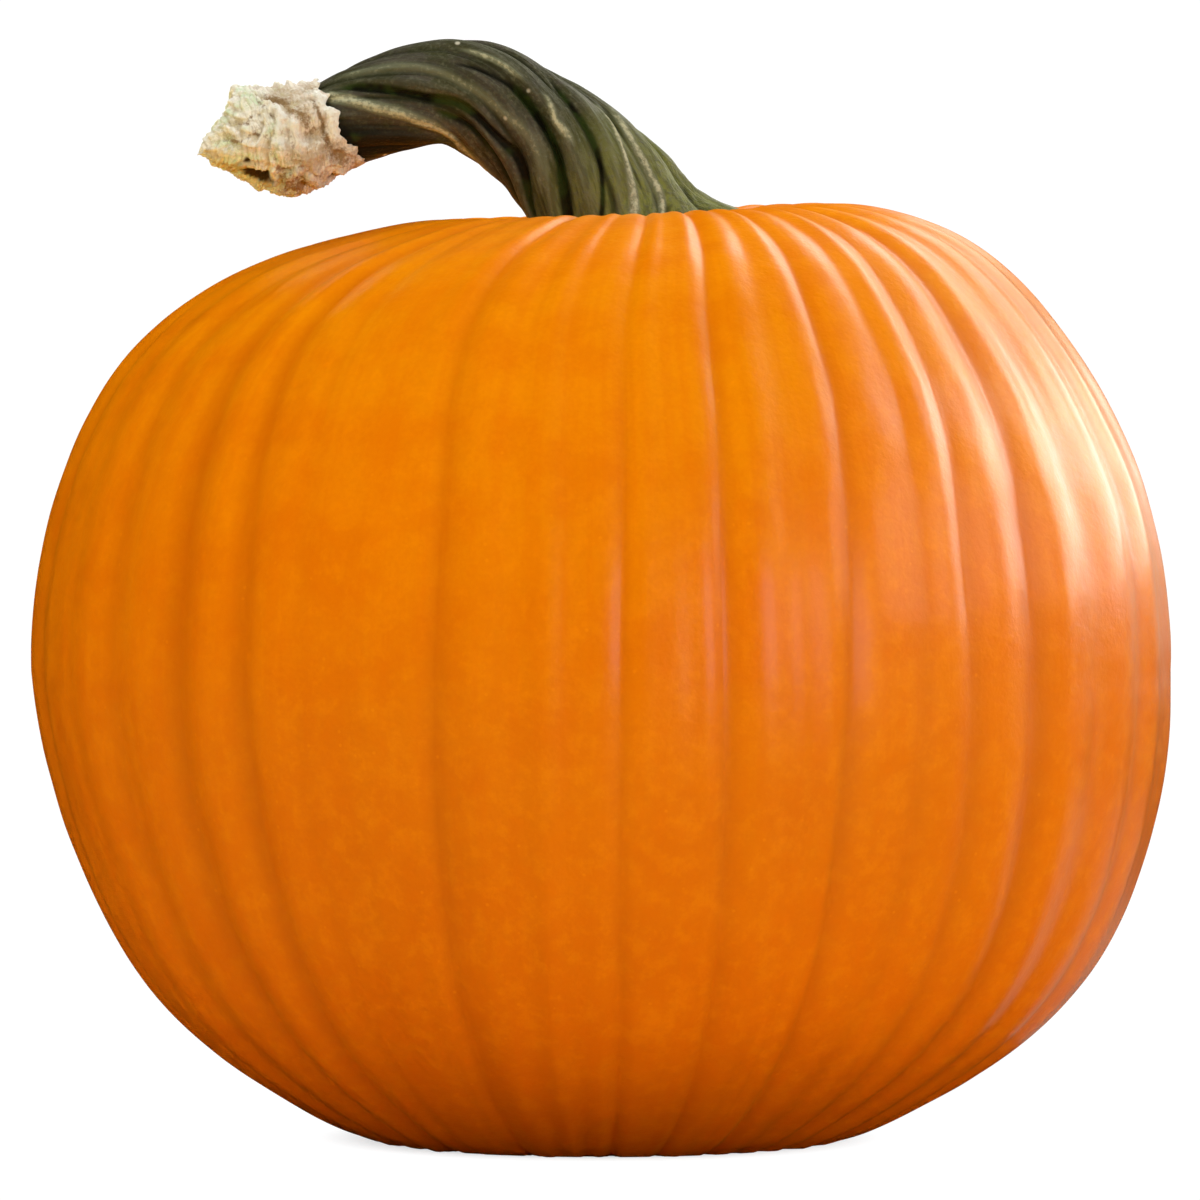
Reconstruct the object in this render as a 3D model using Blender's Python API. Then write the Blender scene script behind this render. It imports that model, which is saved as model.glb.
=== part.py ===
"""A ripe orange pumpkin standing on its blossom end, with its bent green stem.

Metres, +Z up. The origin is on the ground, below the middle of the fruit, and the stem
bends over towards -X. Three solids, each a UV sphere whose points are moved by a formula:

  fruit      the whole fruit with its ribs, one closed body, flat where its ribs touch the ground
  stem       the ridged, twisted stem, cut to the fruit's top hollow where its foot flares out
  stem_end   the pale torn wood beyond the stem's last ring of green skin
"""

import math

import bmesh
import bpy
import numpy as np

MM = 0.001
PIECE_GAP = 0.3 * MM  # clearance between pieces that grew together
SMALL_STEP = 1e-3  # share of a curve's length over which its direction is taken

# ---- the fruit ----
# Half outline down the middle of a rib, from the blossom end to the stem: (radius, height), mm.
MERIDIAN_MM = (
    (0, 8.0), (14, 7.0), (31, 1.6), (47, -1.5), (81.5, 10.5), (112.4, 34.7), (132.8, 73.6), (140.1, 122.7),
    (133.2, 162.0), (117.8, 191.8), (92.8, 215.2), (68, 225.0), (47, 228.0), (25, 223.5), (0, 217.0),
)
WIDEST_RADIUS = 140.1 * MM
HOLLOW_LEAN = 8.5 * MM  # the stem's hollow sits this far towards +X
LEAN_SHARES = (0.69, 0.89)  # shares of the outline's length between which the lean sets in
SIDE_SWELL = 0.031  # the lower half is this much fuller on the +X side
SHOULDER_TILT = 2.4 * MM  # the +X shoulder is this much higher, and the -X one lower
SHOULDER_SHARES = (0.55, 0.75)

# Grooves of the front half: (bearing from -Y towards +X in degrees, depth in mm).
FRONT_GROOVES = (
    (-78, 2.0), (-68.5, 1.0), (-59.5, 2.0), (-48, 3.0), (-39.5, 3.0), (-31.5, 1.5), (-24, 0.7), (-17.5, 2.6),
    (-9, 0.6), (-4, 1.0), (3, 2.2), (8, 0.7), (14, 2.6), (21.5, 1.4), (27, 2.9), (35, 1.9), (42, 2.6),
    (50.8, 3.6), (60.5, 2.0), (71.5, 2.7),
)
BACK_RIBS = 19
BACK_DEPTHS_MM = (1.3, 3.1)  # shallow and deep grooves, in turn
BACK_JITTER = 0.18  # of a rib's width
SWAY_DEG = 0.7  # how far a groove wanders from its bearing
PROUD_MM = 0.8  # how much some ribs stand out beyond the others
VALLEY_SHARPNESS = 0.7  # 1 is a sine wave, less is a rounder rib with a tighter groove
POLE_FADE = 0.6  # power of the sine that fades the grooves towards the two poles
LOW_DEPTH, HIGH_DEPTH = 0.85, 1.15  # groove depth below and above the widest part, as a share of its own
STEEPEST_GROOVE = 0.12  # deepest groove as a share of the radius, near the two poles
SEED = 11

RIB_STEPS = (0.0, 0.22, 0.5, 0.78)  # where the mesh cuts each rib, from one groove to the next
FRUIT_RINGS = 28
POLE_CROWDING = 0.35  # how much closer the rings lie near the poles

# ---- the stem ----
# Middle of the stem and its radius, from inside the fruit to the torn end: (x, y, z, radius), mm.
STEM_PATH_MM = (
    (9.5, 0.0, 209.0, 33.0), (8.5, 0.0, 218.5, 29.5), (4.8, 0.0, 227.0, 21.0), (-2.6, -0.5, 235.2, 18.3),
    (-12.3, -1.0, 245.1, 16.2), (-20.7, -1.5, 251.2, 14.9), (-29.4, -2.0, 256.0, 14.2),
    (-39.6, -2.5, 257.4, 13.3), (-52.3, -3.5, 254.3, 12.5), (-60.3, -4.5, 251.4, 11.8),
    (-67.5, -5.5, 248.3, 10.8),
)
RIDGES = 5  # strong ridges round the stem, each followed by a weaker one
WEAK_RIDGE = 0.6  # height of a weak ridge as a share of a strong one
RIDGE_DEPTH = 0.15  # depth of the furrows as a share of the radius
FOOT_RIDGE_DEPTH = 0.16  # how much deeper they are at the foot
FOOT_SHARE = 0.22  # the part of the stem's length that is its foot
TWIST = math.radians(180)  # how far the ridges turn from the foot to the torn end
TWIST_START = 1.1  # above 1 the twist begins slowly
STEM_SEGMENTS, STEM_RINGS = 40, 30

# ---- the torn end ----
# Outline along the stem's last direction: (distance past the green skin, radius), mm.
END_OUTLINE_MM = (
    (0.0, 0.0), (0.0, 8.0), (2.0, 12.0), (7.0, 13.7), (14.0, 13.6), (21.0, 10.7), (27.0, 6.9), (31.0, 3.0),
    (32.0, 0.0),
)
END_SKEW = (-0.16, 0.40)  # the torn end hangs below its middle at the skin, and rises over it at the tip
SKEW_SHARES = (0.3, 0.8)
END_LIFT = 0.14  # rise of its middle for each length forward
END_LUMPS = ((3, 5.0, 0.0, 0.8), (5, -9.0, 1.3, 0.5))  # (waves round, turn along, phase, height in mm)
LUMP_SHARES = (0.2, 0.4, 0.85, 1.0)  # the lumps rise over the first two shares and fade over the last two
END_SEGMENTS, END_RINGS = 28, 18


def curve_through(points, share):
    """Smooth cubic curve through the points, at shares of its length; rows are coordinates.

    The curve has no corner in slope or bend, and no bend at its two ends.
    """
    points = np.asarray(points, float)
    chords = np.linalg.norm(np.diff(points, axis=0), axis=1)
    knots = np.concatenate([[0.0], np.cumsum(chords)])
    slopes = np.diff(points, axis=0) / chords[:, None]
    count = len(points)
    system = np.zeros((count, count))
    target = np.zeros((count, points.shape[1]))
    system[0, 0] = system[-1, -1] = 1.0
    for i in range(1, count - 1):
        system[i, i - 1 : i + 2] = chords[i - 1], 2 * (chords[i - 1] + chords[i]), chords[i]
        target[i] = 6 * (slopes[i] - slopes[i - 1])
    bend = np.linalg.solve(system, target)
    along = np.clip(np.asarray(share, float), 0, 1) * knots[-1]
    span = np.clip(np.searchsorted(knots, along, side="right") - 1, 0, count - 2)
    width = chords[span][..., None]
    after = (along - knots[span])[..., None]
    before = width - after
    bent = (bend[span] * before**3 + bend[span + 1] * after**3) / (6 * width)
    start = points[span] / width - bend[span] * width / 6
    finish = points[span + 1] / width - bend[span + 1] * width / 6
    return np.moveaxis(bent + start * before + finish * after, -1, 0)


def direction_along(points, share):
    """Unit direction of the curve through the points, at shares of its length."""
    ahead = curve_through(points, np.clip(share + SMALL_STEP, 0, 1))
    behind = curve_through(points, np.clip(share - SMALL_STEP, 0, 1))
    along = ahead - behind
    return along / np.linalg.norm(along, axis=0)


def smoothstep(value, low, high):
    """0 below low, 1 above high, and a smooth S between them."""
    t = np.clip((value - low) / (high - low), 0, 1)
    return t * t * (3 - 2 * t)


def groove_table():
    """(bearing, depth, sway phase, rib proudness) of every groove, in order round the fruit.

    The back grooves share the rest of the circle evenly, each moved by a seeded jitter.
    """
    draw = np.random.default_rng(SEED)
    front = np.array(FRONT_GROOVES, float)
    first, last = front[0, 0] + 360, front[-1, 0]
    width = (first - last) / BACK_RIBS
    steps = np.arange(1, BACK_RIBS)
    back_bearings = last + width * (steps + draw.uniform(-BACK_JITTER, BACK_JITTER, len(steps)))
    back_depths = np.where(steps % 2, *BACK_DEPTHS_MM) * draw.uniform(0.8, 1.15, len(steps))
    bearings = np.radians(np.concatenate([front[:, 0], back_bearings]))
    depths = np.concatenate([front[:, 1], back_depths]) * MM
    phases = draw.uniform(0, 2 * math.pi, len(bearings))
    proud = draw.uniform(-PROUD_MM, PROUD_MM, len(bearings)) * MM
    return bearings, depths, phases, proud


def fruit_surface(rib, share):
    """Point on the fruit: rib counts round from groove to groove, share runs up the outline.

    The outline is turned about the upright axis. A rib is pushed in along the outline's normal
    towards its two grooves, which fade to nothing at the poles; then the whole form leans.
    """
    bearings, depths, phases, proud = groove_table()
    number = np.floor(rib).astype(int)
    part = rib - number
    this = number % len(bearings)
    following = (number + 1) % len(bearings)

    def swayed(groove):
        sway = math.radians(SWAY_DEG) * np.sin(2 * math.pi * share + phases[groove])
        return bearings[groove] + sway * np.sin(math.pi * share)

    turn = 2 * math.pi * (following <= this)
    bearing = (1 - part) * swayed(this) + part * (swayed(following) + turn)
    depth = (1 - part) * depths[this] + part * depths[following]

    outline = np.array(MERIDIAN_MM) * MM
    radius, height = curve_through(outline, share)
    along = direction_along(outline, share)

    valley = 1 - np.sin(math.pi * part) ** VALLEY_SHARPNESS
    fade = LOW_DEPTH + (HIGH_DEPTH - LOW_DEPTH) * smoothstep(share, *SHOULDER_SHARES)
    fade = fade * np.clip(np.sin(math.pi * share), 0, 1) ** POLE_FADE
    groove = np.minimum(depth * fade, STEEPEST_GROOVE * radius) * valley
    swell = proud[this] * np.sin(math.pi * part) ** 2 * np.sin(math.pi * share) ** 2
    offset = swell - groove
    radius = radius + along[1] * offset
    height = height - along[0] * offset

    lower = np.sin(math.pi * np.clip(share / 0.5, 0, 1))
    radius = radius * (1 + SIDE_SWELL * lower * np.sin(bearing))
    crest = np.sin(math.pi * np.clip(radius / WIDEST_RADIUS, 0, 1)) * smoothstep(share, *SHOULDER_SHARES)
    x = radius * np.sin(bearing) + HOLLOW_LEAN * smoothstep(share, *LEAN_SHARES)
    y = -radius * np.cos(bearing)
    z = height + SHOULDER_TILT * crest * np.sin(bearing)
    return np.stack([x, y, np.maximum(z, 0.0)], axis=-1)


def stem_frames(share):
    """Middle and radius of the stem, and its directions: over its bend, towards -Y, and along."""
    path = np.array(STEM_PATH_MM) * MM
    *middle, radius = curve_through(path, share)
    along = direction_along(path, share)[:3].T
    along = along / np.linalg.norm(along, axis=1, keepdims=True)
    front = along * along[:, 1:2] - np.array([0.0, 1.0, 0.0])
    front = front / np.linalg.norm(front, axis=1, keepdims=True)
    over = np.cross(along, front)
    return np.stack(middle, axis=-1), radius, over, front, along


def stem_surface(angle, share):
    """Point on the stem: a round section carried along its path, with ridges that twist."""
    middle, radius, over, front, _ = stem_frames(share)
    wave = np.cos(RIDGES * (angle + TWIST * share**TWIST_START))
    weak = (1 - WEAK_RIDGE) / 2
    ridge = np.abs(wave) * (1 - weak + weak * wave)
    depth = RIDGE_DEPTH + FOOT_RIDGE_DEPTH * (1 - smoothstep(share, 0, FOOT_SHARE))
    reach = radius * (1 - depth * (1 - ridge))
    across = np.cos(angle)[:, None] * over + np.sin(angle)[:, None] * front
    return middle + reach[:, None] * across


def end_surface(angle, share):
    """Point on the torn end: its outline turned about the stem's last direction, with soft lumps."""
    middle, _, over, front, along = stem_frames(np.ones_like(share))
    forward, radius = curve_through(np.array(END_OUTLINE_MM) * MM, share)
    forward = np.maximum(forward, 0.0)
    radius = np.maximum(radius, 0.0)
    lumps = sum(
        height * MM * np.sin(waves * angle + turn * share + phase) for waves, turn, phase, height in END_LUMPS
    )
    lumps = lumps * smoothstep(share, *LUMP_SHARES[:2]) * (1 - smoothstep(share, *LUMP_SHARES[2:]))
    skew = END_SKEW[0] + (END_SKEW[1] - END_SKEW[0]) * smoothstep(share, *SKEW_SHARES)
    reach = radius * (1 + skew * np.cos(angle)) + lumps
    middle = middle + (END_LIFT * forward)[:, None] * over
    across = np.cos(angle)[:, None] * over + np.sin(angle)[:, None] * front
    return middle + (forward + PIECE_GAP)[:, None] * along + reach[:, None] * across


def sphere_grid(name, segments, rings, place):
    """A UV sphere whose points place(turn, share) moves: turn 0 to 1 round, share 0 to 1 up."""
    body = bmesh.new()
    bmesh.ops.create_uvsphere(body, u_segments=segments, v_segments=rings, radius=1.0)
    points = np.array([vertex.co for vertex in body.verts])
    turn = np.round(np.arctan2(points[:, 1], points[:, 0]) / (2 * math.pi) * segments) % segments
    share = np.round(np.arccos(np.clip(-points[:, 2], -1, 1)) / math.pi * rings)
    for vertex, place_to in zip(body.verts, place(turn.astype(int), share.astype(int))):
        vertex.co = place_to
    bmesh.ops.recalc_face_normals(body, faces=body.faces)
    mesh = bpy.data.meshes.new(name)
    body.to_mesh(mesh)
    body.free()
    mesh.shade_smooth()
    return bpy.data.objects.new(name, mesh)


def fruit_mesh(name, grow=0.0):
    """The fruit's mesh, or one that stands off it by grow, to cut its neighbour with."""

    def place(turn, ring):
        rib = turn // len(RIB_STEPS) + np.array(RIB_STEPS)[turn % len(RIB_STEPS)]
        even = ring / FRUIT_RINGS
        share = even - POLE_CROWDING * np.sin(2 * math.pi * even) / (2 * math.pi)
        rib = np.where((ring == 0) | (ring == FRUIT_RINGS), 0.0, rib)
        return fruit_surface(rib, share)

    segments = len(RIB_STEPS) * (len(FRONT_GROOVES) + BACK_RIBS - 1)
    fruit = sphere_grid(name, segments, FRUIT_RINGS, place)
    if grow:
        normals = [vertex.normal.copy() for vertex in fruit.data.vertices]
        for vertex, normal in zip(fruit.data.vertices, normals):
            vertex.co += normal * grow
    return fruit


def stem_mesh(name):
    """The stem's mesh; its first and last rings close onto the middle as flat ends."""

    def place(turn, ring):
        angle = 2 * math.pi * turn / STEM_SEGMENTS
        share = np.clip((ring - 1) / (STEM_RINGS - 2), 0, 1)
        points = stem_surface(angle, share)
        middle = stem_frames(share)[0]
        closed = (ring == 0) | (ring == STEM_RINGS)
        return np.where(closed[:, None], middle, points)

    return sphere_grid(name, STEM_SEGMENTS, STEM_RINGS, place)


def end_mesh(name):
    """The torn end's mesh."""

    def place(turn, ring):
        return end_surface(2 * math.pi * turn / END_SEGMENTS, ring / END_RINGS)

    return sphere_grid(name, END_SEGMENTS, END_RINGS, place)


def material(name, colour, roughness):
    """A Principled material, not metallic."""
    made = bpy.data.materials.new(name)
    made.use_nodes = True
    shader = made.node_tree.nodes["Principled BSDF"]
    shader.inputs["Base Color"].default_value = (*colour, 1.0)
    shader.inputs["Roughness"].default_value = roughness
    shader.inputs["Metallic"].default_value = 0.0
    return made


def main():
    for old in list(bpy.data.objects):
        bpy.data.objects.remove(old)
    pumpkin = bpy.data.collections.new("pumpkin")
    cutters = bpy.data.collections.new("cutters")
    bpy.context.scene.collection.children.link(pumpkin)
    bpy.context.scene.collection.children.link(cutters)

    fruit = fruit_mesh("fruit")
    stem = stem_mesh("stem")
    stem_end = end_mesh("stem_end")
    finishes = (
        (fruit, material("pumpkin_skin", (0.80, 0.21, 0.005), 0.38)),
        (stem, material("green_stem", (0.075, 0.085, 0.025), 0.65)),
        (stem_end, material("torn_wood", (0.62, 0.50, 0.30), 0.85)),
    )
    for piece, finish in finishes:
        piece.data.materials.append(finish)
        pumpkin.objects.link(piece)

    seat = fruit_mesh("stem_seat_cutter", grow=PIECE_GAP)
    seat.hide_render = True
    seat.display_type = "WIRE"
    cutters.objects.link(seat)
    cut = stem.modifiers.new("seat", "BOOLEAN")
    cut.operation = "DIFFERENCE"
    cut.object = seat


main()
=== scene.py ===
"""Looks of a ripe orange pumpkin with a bent green stem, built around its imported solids.

Metres, +Z up, -Y towards the viewer. The fruit, its stem and the stem's torn end are surfaces
worked out on grids with numpy, from the same outlines and paths as the solids that they stand
for, with the finer relief that the solids leave out. Each carries attributes that its material
reads, so that streaks follow the ribs and fibres follow the stem.
"""

import itertools
import math

import bpy
import numpy as np
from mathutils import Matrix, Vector


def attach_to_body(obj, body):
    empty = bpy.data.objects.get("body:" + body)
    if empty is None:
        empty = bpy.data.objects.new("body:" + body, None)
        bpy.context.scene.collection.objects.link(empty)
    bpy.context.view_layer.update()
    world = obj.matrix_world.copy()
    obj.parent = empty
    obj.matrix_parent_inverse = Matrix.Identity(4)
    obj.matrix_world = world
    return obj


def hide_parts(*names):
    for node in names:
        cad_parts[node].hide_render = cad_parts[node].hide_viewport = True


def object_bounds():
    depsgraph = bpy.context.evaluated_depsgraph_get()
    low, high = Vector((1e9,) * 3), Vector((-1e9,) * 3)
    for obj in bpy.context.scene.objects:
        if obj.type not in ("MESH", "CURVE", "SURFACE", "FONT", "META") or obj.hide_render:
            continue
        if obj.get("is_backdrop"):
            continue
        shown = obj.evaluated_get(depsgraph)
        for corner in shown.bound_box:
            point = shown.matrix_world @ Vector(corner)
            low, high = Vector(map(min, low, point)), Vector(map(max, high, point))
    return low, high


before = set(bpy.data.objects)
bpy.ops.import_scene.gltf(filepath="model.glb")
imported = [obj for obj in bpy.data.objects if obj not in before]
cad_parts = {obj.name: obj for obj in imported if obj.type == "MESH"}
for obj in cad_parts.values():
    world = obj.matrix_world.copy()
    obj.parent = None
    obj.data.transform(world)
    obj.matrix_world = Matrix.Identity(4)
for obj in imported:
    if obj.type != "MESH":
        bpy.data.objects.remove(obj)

MM = 0.001
SMALL_STEP = 1e-3  # share of a curve's length over which its direction is taken
NOISE_CELLS = 64  # cells of the random lattice before it repeats

# ---- numbers: the fruit's form ----
# Half outline down the middle of a rib, from the blossom end to the stem: (radius, height), mm.
MERIDIAN_MM = (
    (0, 8.0), (14, 7.0), (31, 1.6), (47, -1.5), (81.5, 10.5), (112.4, 34.7), (132.8, 73.6),
    (140.1, 122.7), (133.2, 162.0), (117.8, 191.8), (92.8, 215.2), (68, 225.0), (47, 228.0),
    (25, 223.5), (0, 217.0),
)
WIDEST_RADIUS = 140.1 * MM
HOLLOW_LEAN = 8.5 * MM  # the stem's hollow sits this far towards +X
LEAN_SHARES = (0.69, 0.89)  # shares of the outline's length between which the lean sets in
SIDE_SWELL = 0.031  # the lower half is this much fuller on the +X side
SHOULDER_TILT = 2.4 * MM  # the +X shoulder is this much higher, and the -X one lower
SHOULDER_SHARES = (0.55, 0.75)

# Grooves of the front half: (bearing from -Y towards +X in degrees, depth in mm).
FRONT_GROOVES = (
    (-78, 2.0), (-68.5, 1.0), (-59.5, 2.0), (-48, 3.0), (-39.5, 3.0), (-31.5, 1.5), (-24, 0.7),
    (-17.5, 2.6), (-9, 0.6), (-4, 1.0), (3, 2.2), (8, 0.7), (14, 2.6), (21.5, 1.4), (27, 2.9), (35, 1.9),
    (42, 2.6), (50.8, 3.6), (60.5, 2.0), (71.5, 2.7),
)
BACK_RIBS = 19
BACK_DEPTHS_MM, BACK_DEPTH_SPREAD = (1.3, 3.1), (0.8, 1.15)  # shallow and deep grooves, in turn
BACK_JITTER = 0.18  # of a rib's width
SWAY_DEG = 0.7  # how far a groove wanders from its bearing
GATHER_DEG = 2.3  # how far the side grooves draw apart round the belly, to the front and the back
GATHER_LOW, GATHER_HIGH = (0.05, 0.30), (0.55, 0.72)  # shares where that sets in and ends
PROUD_MM = 0.8  # how much some ribs stand out beyond the others
VALLEY_SHARPNESS = 0.85  # 1 is a sine wave, less is a rounder rib with a tighter groove
ROUND_RIBS = 0.40  # how far the ribs go towards an even wave
POLE_FADE = 0.6  # power of the sine that fades the grooves towards the two poles
LOW_DEPTH, HIGH_DEPTH = 0.62, 0.66  # groove depths, below and above the widest part
STEEPEST_GROOVE = 0.12  # deepest groove as a share of the radius, near the two poles
SEED = 11

# ---- numbers: the fruit's fine relief ----
RIB_COLUMNS = 12  # mesh columns in one rib
FRUIT_ROWS = 204
POLE_CROWDING = 0.35  # how much closer the rows lie near the poles
CREASE_SOFTNESS = 0.22  # rounds the very bottom of a groove
FAINT_GROOVES = (0.8 * MM, 2.0 * MM)  # grooves between these depths fade out, the shallower the more,
FAINT_SHARES = (0.40, 0.80)  # down the outline between these shares
FULL_GROOVE = 2.2 * MM  # a groove this deep gets the full painted shade at its bottom
# Shallow unevenness of the skin: (size, height, seed).
DENTS = ((30 * MM, 0.40 * MM, 21), (11 * MM, 0.14 * MM, 22), (3.2 * MM, 0.02 * MM, 23))
FLUTE_SIZE = (7 * MM, 170 * MM)  # faint flutes on the ribs: across and along
FLUTE_HEIGHT = 0.22 * MM
PUCKER_SIZE = (2.2 * MM, 40 * MM)  # creases where the ribs run into the stem: across and along
PUCKER_HEIGHT = 0.5 * MM
PUCKER_SHARES = (0.90, 0.97)
PUCKER_NARROWING = 0.16  # width of a rib there, as a share of its widest
SCAR_SHARE, SCAR_CORE = 0.030, 0.4  # where the blossom scar ends, and how much of that it fills
SCAR_HEIGHT = 1.6 * MM
SCAR_GRAIN = (1.6 * MM, 0.4 * MM, 26)  # size, height, seed

# ---- numbers: the stem ----
# Middle of the stem and its radius, from inside the fruit to the torn end: (x, y, z, radius), mm.
STEM_PATH_MM = (
    (9.5, 0.0, 209.0, 33.0), (8.5, 0.0, 218.5, 29.5), (4.8, 0.0, 227.0, 21.0), (-2.6, -0.5, 235.2, 18.3),
    (-12.3, -1.0, 245.1, 16.2), (-20.7, -1.5, 251.2, 14.9), (-29.4, -2.0, 256.0, 14.2),
    (-39.6, -2.5, 257.4, 13.3), (-52.3, -3.5, 254.3, 12.5), (-60.3, -4.5, 251.4, 11.8),
    (-67.5, -5.5, 248.3, 10.8),
)
RIDGES = 5  # strong ridges round the stem, each followed by a weaker one
WEAK_RIDGE = 0.7  # height of a weak ridge as a share of a strong one
RIDGE_DEPTH = 0.09  # depth of the furrows as a share of the radius
FOOT_RIDGE_DEPTH = 0.14  # how much deeper they are at the foot
FOOT_SHARE = 0.22  # the part of the stem's length that is its foot
TWIST = math.radians(180)  # how far the ridges turn from the foot to the torn end
TWIST_START = 1.1  # above 1 the twist begins slowly
PLACES = 10  # places counted round the twisted stem, one for each ridge

# Lines that run along the stem: (half width and height in mm, tone from -1 dark to 1 pale, then
# where the line passes, as pairs of a share of the length and a place round the stem). The dark
# tone is painted shade.
STEM_LINES = (
    # furrows, sunk and darkened with painted shade
    (1.3, -1.5, -1.2, (0.93, 6.1), (0.76, 6.4), (0.63, 6.1), (0.50, 5.7), (0.34, 5.8)),
    (1.0, -0.8, -0.7, (0.70, 5.0), (0.59, 4.5), (0.54, 4.4)),
    (1.5, -2.0, -1.3, (0.57, 4.4), (0.40, 4.5), (0.26, 4.8)),
    (1.0, -0.9, -0.8, (0.74, 6.8), (0.55, 6.5), (0.38, 6.7)),
    (1.1, -1.0, -0.8, (0.52, 3.3), (0.36, 3.5), (0.20, 3.9)),
    (1.2, -1.2, -0.8, (0.80, 2.6), (0.48, 1.8), (0.20, 1.4)),
    (1.2, -1.2, -0.9, (0.95, 0.6), (0.55, 0.1), (0.15, -0.3)),
    (1.2, -1.2, -0.9, (0.85, 9.2), (0.50, 8.6), (0.18, 8.3)),
    # painted shade over the underside
    (8.0, 0.0, -1.00, (1.03, 8.4), (0.80, 8.7), (0.56, 8.8), (0.30, 8.6)),
    # pale corky lines
    (1.9, 0.9, 1.00, (0.99, 6.3), (0.89, 6.9), (0.79, 7.3), (0.65, 7.6), (0.50, 7.2)),
    (1.4, 0.2, 0.30, (0.80, 7.5), (0.62, 7.8), (0.50, 7.5), (0.36, 7.3)),
    (0.8, 0.3, 0.80, (0.68, 4.3), (0.63, 4.2), (0.58, 4.1)),
    (0.9, 0.5, 1.00, (0.51, 3.9), (0.47, 4.1), (0.42, 4.0)),
    (1.3, 0.5, 0.95, (0.42, 2.4), (0.33, 2.8), (0.27, 3.0), (0.14, 3.25)),
    (1.1, 0.5, 0.90, (0.40, 2.1), (0.24, 2.4), (0.10, 2.45)),
    (1.6, 0.8, 0.55, (0.26, 1.3), (0.15, 0.9), (0.06, 0.8)),
    (0.9, 0.4, 0.60, (0.90, 9.8), (0.60, 9.4), (0.30, 9.2)),
    (0.8, 0.4, 0.70, (0.75, 1.2), (0.45, 0.9), (0.15, 0.6)),
    # faint grey edges, painted highlight where an edge catches the light, and pale green edges
    (2.2, 0.2, 0.30, (0.50, 1.7), (0.36, 1.5), (0.20, 1.5)),
    (1.6, 0.2, 0.30, (0.36, 2.6), (0.24, 2.6), (0.10, 2.7)),
    (2.0, 0.5, 0.42, (0.93, 5.3), (0.77, 5.4), (0.68, 5.6), (0.53, 5.1), (0.38, 5.2)),
    (1.2, 0.3, 0.25, (0.50, 4.8), (0.36, 5.0), (0.20, 5.3)),
    (1.2, 0.3, 0.30, (0.48, 2.9), (0.34, 3.2), (0.20, 3.4)),
)
LINE_FADE = 0.035  # share of the length over which a line begins and ends
TOE_HEIGHT, TOE_PLACE, TOE_WIDTH = 5.5 * MM, 0.9, 1.1  # the foot's root that spreads over the fruit
TOE_SHARES = (0.10, 0.155)
WAIST_DEPTH, WAIST_SHARE, WAIST_LENGTH, WAIST_WIDTH = 3.2 * MM, 0.175, 0.06, 1.6  # the bend above it

STEM_COLUMNS, STEM_ROWS = 280, 340
SEAT_DEPTH = 1.5 * MM  # how far the foot's edge is sunk in the fruit's skin
FOOT_END = 0.4  # the stem leaves the fruit's skin before this share of its length
HOLLOW_START = 0.82  # the foot stands past this share of the fruit's outline
SKIN_PROBES = 400  # shares tried along both
FINE_RIDGES = 24
FINE_RIDGE_POWER = 0.8  # less than 1 is a rounder ridge
FINE_RIDGE_HEIGHT, FINE_RIDGE_LEVEL = 0.17 * MM, 0.6  # the level is the part that is taken off again
CORD_SIZE = (1.7 * MM, 22 * MM)  # irregular cords between the ridges: across and along
CORD_HEIGHT, CORD_LEVEL = 0.26 * MM, 0.7
CREST_PARTS = (0.62, 0.22, 0.35)  # what ridges, fine ridges and cords add to the look of a crest
HAIR_SIZE = (0.6 * MM, 6 * MM)  # hairline grain: across and along
HAIR_HEIGHT = 0.08 * MM
KNUCKLE_SIZE, KNUCKLE_HEIGHT = 9 * MM, 0.35 * MM  # soft swellings
WANDER_SIZE, WANDER = (12 * MM, 30 * MM), 0.9  # how the fine ridges leave their course
SWERVE_SIZE, SWERVE = (6 * MM, 12 * MM), 0.10  # how the drawn lines leave theirs, in radians
RAGGED_END, RAGS_ROUND = 1.4 * MM, 5  # how unevenly and how finely the green skin is torn off
END_FADE, END_FADE_SHARES = 0.5, (0.97, 1.0)  # how the relief fades towards the torn end
END_BULGE = 0.3 * MM  # the skin is closed this far past the path's last point

# ---- numbers: the torn end ----
# Half outline from its middle against the stem, over the ragged lip on the green skin, to the tip:
# (distance past the green skin, radius, fullness), mm; the fullness reaches 1 on the lip.
TORN_OUTLINE_MM = (
    (0.5, 0.0, 0.0), (0.5, 7.0, 0.55), (0.2, 10.2, 0.82), (-1.4, 11.7, 0.94), (-2.6, 12.3, 1.0),
    (-1.0, 12.9, 1.0), (4.0, 13.6, 1.0), (12.0, 13.8, 1.0), (18.0, 12.2, 1.0), (23.0, 9.6, 1.0),
    (27.5, 6.0, 1.0), (30.5, 3.0, 1.0), (31.8, 0.0, 1.0),
)
LIP_SHARE, LIP_WIDTH = 0.256, 0.06  # where the lip lies on that outline, and how far its rags reach
OPEN_PART = (LIP_SHARE - 0.02, LIP_SHARE + 0.06)  # the torn relief sets in between these shares
LIP_RAGS = ((2.6 * MM, 1.5 * MM, 51), (0.9 * MM, 0.8 * MM, 52))  # size, depth, seed
RAG_STRETCH = (0.2, 1, 1)  # the rags are drawn out along the stem
FLAP_LENGTH, FLAP_ANGLE, FLAP_WIDTH = 2.6 * MM, math.radians(155), math.radians(22)
# Its upper and lower side in the stem's plane: (distance past the green skin, upper, lower), mm.
TORN_SIDES_MM = (
    (-3.0, 11.8, -11.8), (0.0, 12.0, -11.7), (5.0, 13.8, -12.0), (9.0, 15.4, -12.2), (13.0, 17.4, -12.2),
    (16.0, 18.2, -10.8), (18.5, 16.4, -8.4), (20.5, 14.0, -7.2), (22.7, 12.8, -4.6), (27.0, 11.3, 1.4),
    (29.3, 9.4, 3.4), (31.8, 7.2, 7.0),
)
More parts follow.
